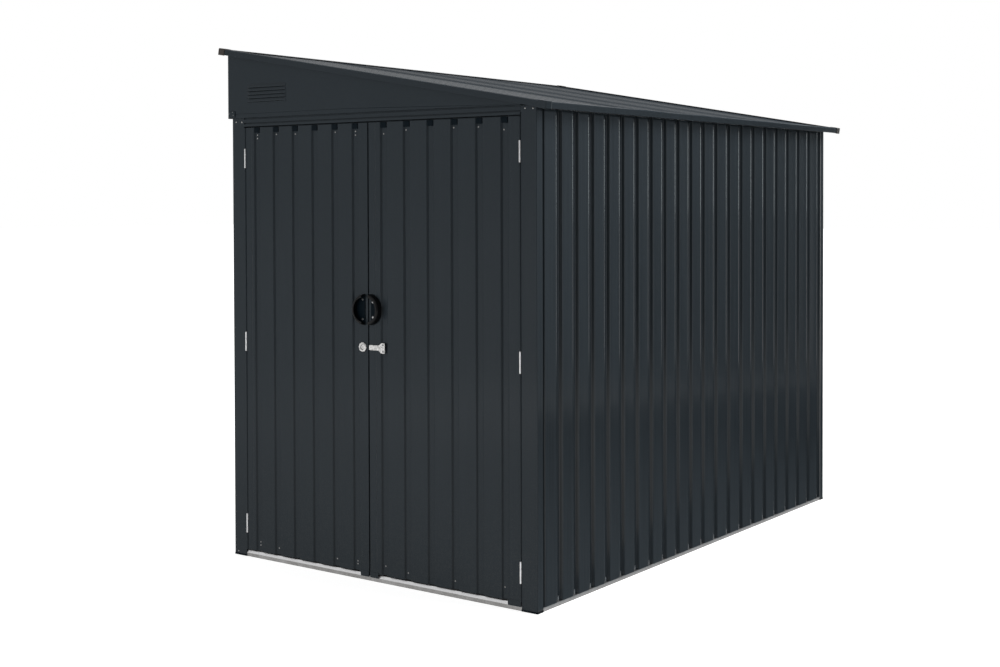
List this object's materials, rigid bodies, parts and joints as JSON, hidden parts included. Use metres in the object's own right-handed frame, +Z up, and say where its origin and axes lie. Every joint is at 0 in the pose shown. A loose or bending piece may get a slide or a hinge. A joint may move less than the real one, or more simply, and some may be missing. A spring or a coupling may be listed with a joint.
{
  "type": "motorcycle garage",
  "caption": "Hollow ribbed steel shed for a motorcycle, with a pent roof, a gable vent and a pair of doors that swing outwards.",
  "frame": {"origin": "centre of the whole object's plan box, on the ground under the base rails", "axes": "+X from the high side to the eaves, +Y from the doors to the back wall, +Z up"},
  "size_m": [1.6387, 2.533, 2.0876],
  "materials": {
    "anthracite_steel": "satin anthracite coating on rolled steel",
    "galvanised_steel": "bright galvanised steel",
    "black_plastic": "black moulded plastic",
    "cap_plastic": "dark moulded plastic"
  },
  "bodies": {
    "root": {"base_rail_front": "galvanised_steel", "base_rail_back": "galvanised_steel", "base_rail_left": "galvanised_steel", "base_rail_right": "galvanised_steel", "corner_post_front_left": "anthracite_steel", "corner_post_front_right": "anthracite_steel", "corner_post_back_left": "anthracite_steel", "corner_post_back_right": "anthracite_steel", "left_wall_front_sheet": "anthracite_steel", "left_wall_rear_sheet": "anthracite_steel", "right_wall_front_sheet": "anthracite_steel", "right_wall_rear_sheet": "anthracite_steel", "back_wall_sheet": "anthracite_steel", "middle_rails": "galvanised_steel", "door_header": "anthracite_steel", "front_gable": "anthracite_steel", "back_gable": "anthracite_steel", "front_vent": "anthracite_steel", "high_side_fascia": "anthracite_steel", "top_rail_high": "galvanised_steel", "top_rail_low": "galvanised_steel", "roof_purlin": "galvanised_steel", "roof_sheet_front": "anthracite_steel", "roof_sheet_middle": "anthracite_steel", "roof_sheet_rear": "anthracite_steel", "verge_trim_front": "anthracite_steel", "verge_trim_back": "anthracite_steel", "eave_trim": "anthracite_steel", "high_edge_trim": "anthracite_steel", "roof_corner_caps": "cap_plastic", "post_hinges_left": "galvanised_steel", "post_hinges_right": "galvanised_steel"},
    "left_door": {"left_door_sheet": "anthracite_steel", "left_door_stiles": "anthracite_steel", "left_door_rails": "galvanised_steel", "left_door_hinges": "galvanised_steel", "left_door_handle": "black_plastic", "left_door_rose": "galvanised_steel"},
    "right_door": {"right_door_sheet": "anthracite_steel", "right_door_stiles": "anthracite_steel", "right_door_rails": "galvanised_steel", "right_door_hinges": "galvanised_steel", "right_door_handle": "black_plastic", "right_door_bar": "galvanised_steel"}
  },
  "joints": [
    {"name": "left_door_hinge", "type": "hinge", "parent": "root", "child": "left_door", "pos_m": [-0.6875, -1.2405, 0], "axis": [0, 0, -1], "range_deg": [0, 115]},
    {"name": "right_door_hinge", "type": "hinge", "parent": "root", "child": "right_door", "pos_m": [0.6875, -1.2405, 0], "axis": [0, 0, 1], "range_deg": [0, 115]}
  ]
}
